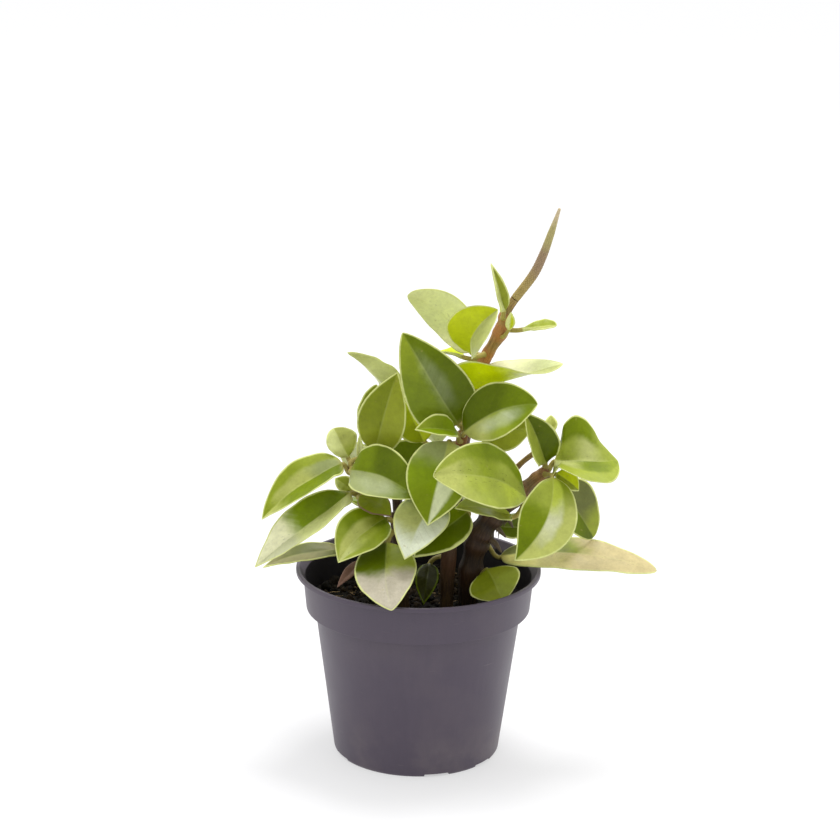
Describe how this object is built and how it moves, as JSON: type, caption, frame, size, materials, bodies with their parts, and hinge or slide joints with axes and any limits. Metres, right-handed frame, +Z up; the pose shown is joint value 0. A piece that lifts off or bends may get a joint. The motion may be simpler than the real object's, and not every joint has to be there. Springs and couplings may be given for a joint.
{
  "type": "potted peperomia plant",
  "caption": "Small house plant with fleshy pointed leaves on brown stems and a slender flower spike, growing in soil in a dark tapered nursery pot with a stepped collar.",
  "frame": {"origin": "centre of the underside of the pot, on the surface it stands on", "axes": "+Z up along the pot's axis, -Y towards the front that the picture shows, +X to the right of that view"},
  "size_m": [0.147, 0.1035, 0.2054],
  "materials": {
    "pot": "satin",
    "soil": "matte",
    "stem": "satin",
    "trunk": "matte",
    "spike": "satin",
    "leaf_green": "satin",
    "leaf_deep": "satin",
    "leaf_lime": "satin",
    "leaf_pale": "satin",
    "leaf_bleached": "satin",
    "leaf_straw": "satin",
    "leaf_dried": "matte"
  },
  "bodies": {
    "root": {"pot": "pot", "soil": "soil", "stem_tall": "stem", "stem_right": "trunk", "stem_right_fork": "stem", "stem_front": "stem", "stem_left": "stem", "stem_low": "stem", "stem_back": "stem", "flower_spike": "spike", "leaf_top_pale": "leaf_pale", "leaf_top_lime": "leaf_lime", "leaf_young_upright": "leaf_green", "leaf_young_level": "leaf_green", "leaf_bract": "leaf_green", "leaf_upper_left": "leaf_pale", "leaf_upper_right": "leaf_lime", "leaf_small_under_top": "leaf_lime", "leaf_tall_centre": "leaf_deep", "leaf_olive_left": "leaf_green", "leaf_lime_behind_left": "leaf_lime", "leaf_centre_inner": "leaf_lime", "leaf_centre_right": "leaf_deep", "leaf_centre_cup": "leaf_green", "leaf_right_folded": "leaf_green", "leaf_right_broad": "leaf_green", "leaf_front_broad": "leaf_green", "leaf_front_centre": "leaf_green", "leaf_left_cup": "leaf_green", "leaf_left_long": "leaf_green", "leaf_left_bleached": "leaf_bleached", "leaf_left_small": "leaf_green", "leaf_low_left": "leaf_green", "leaf_low_grey": "leaf_pale", "leaf_low_dark": "leaf_deep", "leaf_front_drooping": "leaf_bleached", "leaf_low_right": "leaf_green", "leaf_right_front": "leaf_green", "leaf_right_dark": "leaf_deep", "leaf_right_straw": "leaf_straw", "leaf_rim_left": "leaf_bleached", "leaf_under_front": "leaf_deep", "leaf_inner_right": "leaf_green", "leaf_right_small": "leaf_lime", "leaf_right_tip": "leaf_pale", "leaf_deep_inner": "leaf_deep", "shoot_left": "leaf_pale", "leaf_left_inner": "leaf_green", "leaf_left_curled": "leaf_green", "leaf_dried": "leaf_dried", "leaf_inner_left": "leaf_deep", "leaf_inner_low": "leaf_deep", "leaf_back_top_left": "leaf_green", "leaf_back_top_right": "leaf_green", "leaf_back_right": "leaf_green", "leaf_back_left": "leaf_green", "leaf_back_low_right": "leaf_green", "leaf_back_low_left": "leaf_green", "leaf_back_low_centre": "leaf_green", "leaf_back_side_left": "leaf_green"}
  },
  "joints": []
}
